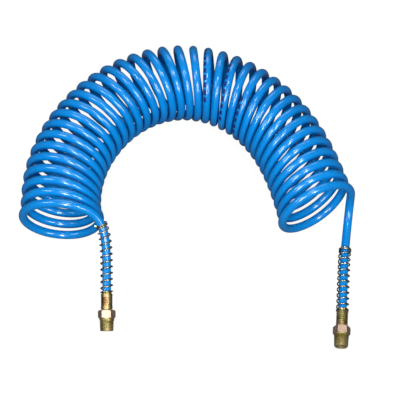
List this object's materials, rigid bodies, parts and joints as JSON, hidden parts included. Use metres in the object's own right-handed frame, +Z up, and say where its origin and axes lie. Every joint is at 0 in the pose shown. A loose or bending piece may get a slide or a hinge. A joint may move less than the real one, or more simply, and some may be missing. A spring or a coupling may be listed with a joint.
{
  "type": "coiled air hose",
  "caption": "Left-hand spiral air hose lying in an arch, with spring bend guards and swivelling taper-threaded ends on both tails.",
  "frame": {"origin": "bottom centre of the whole hose, on the surface the coil lies on", "axes": "+Z up; +Y towards the crown of the arch; both tails point towards -Y; +X to the right-hand tail"},
  "size_m": [0.3137, 0.3091, 0.076],
  "materials": {
    "hose_blue": "glossy translucent polyurethane",
    "guard_steel": "zinc plated spring wire",
    "plated_steel": "yellow zinc plated, iridescent",
    "stem_steel": "zinc plated",
    "ring_steel": "phosphated spring steel",
    "washer_plastic": "acetal",
    "seal_rubber": "nitrile"
  },
  "bodies": {
    "coil_01": {"coil_01": "hose_blue"},
    "coil_02": {"coil_02": "hose_blue"},
    "coil_03": {"coil_03": "hose_blue"},
    "coil_04": {"coil_04": "hose_blue"},
    "coil_05": {"coil_05": "hose_blue"},
    "coil_06": {"coil_06": "hose_blue"},
    "coil_07": {"coil_07": "hose_blue"},
    "coil_08": {"coil_08": "hose_blue"},
    "coil_09": {"coil_09": "hose_blue"},
    "coil_10": {"coil_10": "hose_blue"},
    "coil_11": {"coil_11": "hose_blue"},
    "coil_12": {"coil_12": "hose_blue"},
    "coil_13": {"coil_13": "hose_blue"},
    "coil_14": {"coil_14": "hose_blue"},
    "coil_15": {"coil_15": "hose_blue"},
    "coil_16": {"coil_16": "hose_blue"},
    "coil_17": {"coil_17": "hose_blue"},
    "coil_18": {"coil_18": "hose_blue"},
    "coil_19": {"coil_19": "hose_blue"},
    "coil_20": {"coil_20": "hose_blue"},
    "coil_21": {"coil_21": "hose_blue"},
    "coil_22": {"coil_22": "hose_blue"},
    "coil_23": {"coil_23": "hose_blue"},
    "left_tail": {"left_tail_tube": "hose_blue", "left_bend_guard": "guard_steel", "left_ferrule": "plated_steel", "left_stem": "stem_steel", "left_o_ring": "seal_rubber"},
    "left_end": {"left_hex_body": "plated_steel", "left_thrust_washer": "washer_plastic", "left_snap_ring": "ring_steel"},
    "right_tail": {"right_tail_tube": "hose_blue", "right_bend_guard": "guard_steel", "right_ferrule": "plated_steel", "right_stem": "stem_steel", "right_o_ring": "seal_rubber"},
    "right_end": {"right_hex_body": "plated_steel", "right_thrust_washer": "washer_plastic", "right_snap_ring": "ring_steel"}
  },
  "joints": [
    {"name": "left_opening_01", "type": "hinge", "parent": "coil_12", "child": "coil_11", "pos_m": [-0.00685, 0.08531, 0.038], "axis": [0.0395, 0.0019, 0.9992], "range_deg": [0, 12]},
    {"name": "left_opening_02", "type": "hinge", "parent": "coil_11", "child": "coil_10", "pos_m": [-0.05734, 0.13983, 0.038], "axis": [0.067, 0.0291, -0.9973], "range_deg": [0, 24]},
    {"name": "left_opening_03", "type": "hinge", "parent": "coil_10", "child": "coil_09", "pos_m": [-0.03218, 0.07838, 0.038], "axis": [0.0384, 0.0195, 0.9991], "range_deg": [0, 12]},
    {"name": "left_opening_04", "type": "hinge", "parent": "coil_09", "child": "coil_08", "pos_m": [-0.09562, 0.11521, 0.038], "axis": [0.0518, 0.046, -0.9976], "range_deg": [0, 24]},
    {"name": "left_opening_05", "type": "hinge", "parent": "coil_08", "child": "coil_07", "pos_m": [-0.05491, 0.061, 0.038], "axis": [0.032, 0.0341, 0.9989], "range_deg": [0, 12]},
    {"name": "left_opening_06", "type": "hinge", "parent": "coil_07", "child": "coil_06", "pos_m": [-0.12372, 0.08249, 0.038], "axis": [0.036, 0.0547, -0.9979], "range_deg": [0, 24]},
    {"name": "left_opening_07", "type": "hinge", "parent": "coil_06", "child": "coil_05", "pos_m": [-0.07254, 0.03563, 0.038], "axis": [0.0223, 0.0437, 0.9988], "range_deg": [0, 12]},
    {"name": "left_opening_08", "type": "hinge", "parent": "coil_05", "child": "coil_04", "pos_m": [-0.14235, 0.04522, 0.038], "axis": [0.0218, 0.0612, -0.9979], "range_deg": [0, 24]},
    {"name": "left_opening_09", "type": "hinge", "parent": "coil_04", "child": "coil_03", "pos_m": [-0.08291, 0.00598, 0.038], "axis": [0.0097, 0.0483, 0.9988], "range_deg": [0, 12]},
    {"name": "left_opening_10", "type": "hinge", "parent": "coil_03", "child": "coil_02", "pos_m": [-0.15137, 0.00471, 0.038], "axis": [0.006, 0.0644, -0.9979], "range_deg": [0, 24]},
    {"name": "left_opening_11", "type": "hinge", "parent": "coil_02", "child": "coil_01", "pos_m": [-0.08463, -0.02555, 0.038], "axis": [-0.0045, 0.0494, 0.9988], "range_deg": [0, 12]},
    {"name": "right_opening_01", "type": "hinge", "parent": "coil_12", "child": "coil_13", "pos_m": [0.00963, 0.08358, 0.038], "axis": [-0.0381, 0.0095, -0.9992], "range_deg": [0, 12]},
    {"name": "right_opening_02", "type": "hinge", "parent": "coil_13", "child": "coil_14", "pos_m": [0.0211, 0.14732, 0.038], "axis": [-0.0723, 0.0166, 0.9972], "range_deg": [0, 24]},
    {"name": "right_opening_03", "type": "hinge", "parent": "coil_14", "child": "coil_15", "pos_m": [0.03304, 0.0728, 0.038], "axis": [-0.0343, 0.0236, -0.9991], "range_deg": [0, 12]},
    {"name": "right_opening_04", "type": "hinge", "parent": "coil_15", "child": "coil_16", "pos_m": [0.06407, 0.12911, 0.038], "axis": [-0.0606, 0.0387, 0.9974], "range_deg": [0, 24]},
    {"name": "right_opening_05", "type": "hinge", "parent": "coil_16", "child": "coil_17", "pos_m": [0.05286, 0.0541, 0.038], "axis": [-0.0274, 0.0342, -0.999], "range_deg": [0, 12]},
    {"name": "right_opening_06", "type": "hinge", "parent": "coil_17", "child": "coil_18", "pos_m": [0.09824, 0.0994, 0.038], "axis": [-0.0456, 0.0526, 0.9976], "range_deg": [0, 24]},
    {"name": "right_opening_07", "type": "hinge", "parent": "coil_18", "child": "coil_19", "pos_m": [0.06796, 0.02972, 0.038], "axis": [-0.02, 0.0415, -0.9989], "range_deg": [0, 12]},
    {"name": "right_opening_08", "type": "hinge", "parent": "coil_19", "child": "coil_20", "pos_m": [0.12278, 0.06318, 0.038], "axis": [-0.0312, 0.0592, 0.9978], "range_deg": [0, 24]},
    {"name": "right_opening_09", "type": "hinge", "parent": "coil_20", "child": "coil_21", "pos_m": [0.07882, 0.00138, 0.038], "axis": [-0.0142, 0.0466, -0.9988], "range_deg": [0, 12]},
    {"name": "right_opening_10", "type": "hinge", "parent": "coil_21", "child": "coil_22", "pos_m": [0.13917, 0.02449, 0.038], "axis": [-0.0205, 0.0608, 0.9979], "range_deg": [0, 24]},
    {"name": "right_opening_11", "type": "hinge", "parent": "coil_22", "child": "coil_23", "pos_m": [0.0867, -0.02972, 0.038], "axis": [-0.0108, 0.0503, -0.9987], "range_deg": [0, 12]},
    {"name": "left_tail_swing", "type": "hinge", "parent": "coil_01", "child": "left_tail", "pos_m": [-0.15284, -0.03636, 0.038], "axis": [-0.0015, 0.0634, -0.998], "range_deg": [0, 35]},
    {"name": "right_tail_swing", "type": "hinge", "parent": "coil_23", "child": "right_tail", "pos_m": [0.1528, -0.01284, 0.038], "axis": [-0.0229, 0.0556, 0.9982], "range_deg": [0, 35]},
    {"name": "left_end_swivel", "type": "hinge", "parent": "left_tail", "child": "left_end", "pos_m": [-0.07335, -0.1376, 0.00585], "axis": [-0.0111, 0.9113, 0.4115], "continuous": true},
    {"name": "right_end_swivel", "type": "hinge", "parent": "right_tail", "child": "right_end", "pos_m": [0.1386, -0.154, 0.0074], "axis": [0.0817, 0.9936, 0.0785], "continuous": true}
  ],
  "couplings": [
    {"joint": "left_opening_02", "follows": "left_opening_01", "ratio": 2},
    {"joint": "left_opening_03", "follows": "left_opening_01", "ratio": 1},
    {"joint": "left_opening_04", "follows": "left_opening_01", "ratio": 2},
    {"joint": "left_opening_05", "follows": "left_opening_01", "ratio": 1},
    {"joint": "left_opening_06", "follows": "left_opening_01", "ratio": 2},
    {"joint": "left_opening_07", "follows": "left_opening_01", "ratio": 1},
    {"joint": "left_opening_08", "follows": "left_opening_01", "ratio": 2},
    {"joint": "left_opening_09", "follows": "left_opening_01", "ratio": 1},
    {"joint": "left_opening_10", "follows": "left_opening_01", "ratio": 2},
    {"joint": "left_opening_11", "follows": "left_opening_01", "ratio": 1},
    {"joint": "right_opening_02", "follows": "right_opening_01", "ratio": 2},
    {"joint": "right_opening_03", "follows": "right_opening_01", "ratio": 1},
    {"joint": "right_opening_04", "follows": "right_opening_01", "ratio": 2},
    {"joint": "right_opening_05", "follows": "right_opening_01", "ratio": 1},
    {"joint": "right_opening_06", "follows": "right_opening_01", "ratio": 2},
    {"joint": "right_opening_07", "follows": "right_opening_01", "ratio": 1},
    {"joint": "right_opening_08", "follows": "right_opening_01", "ratio": 2},
    {"joint": "right_opening_09", "follows": "right_opening_01", "ratio": 1},
    {"joint": "right_opening_10", "follows": "right_opening_01", "ratio": 2},
    {"joint": "right_opening_11", "follows": "right_opening_01", "ratio": 1}
  ]
}
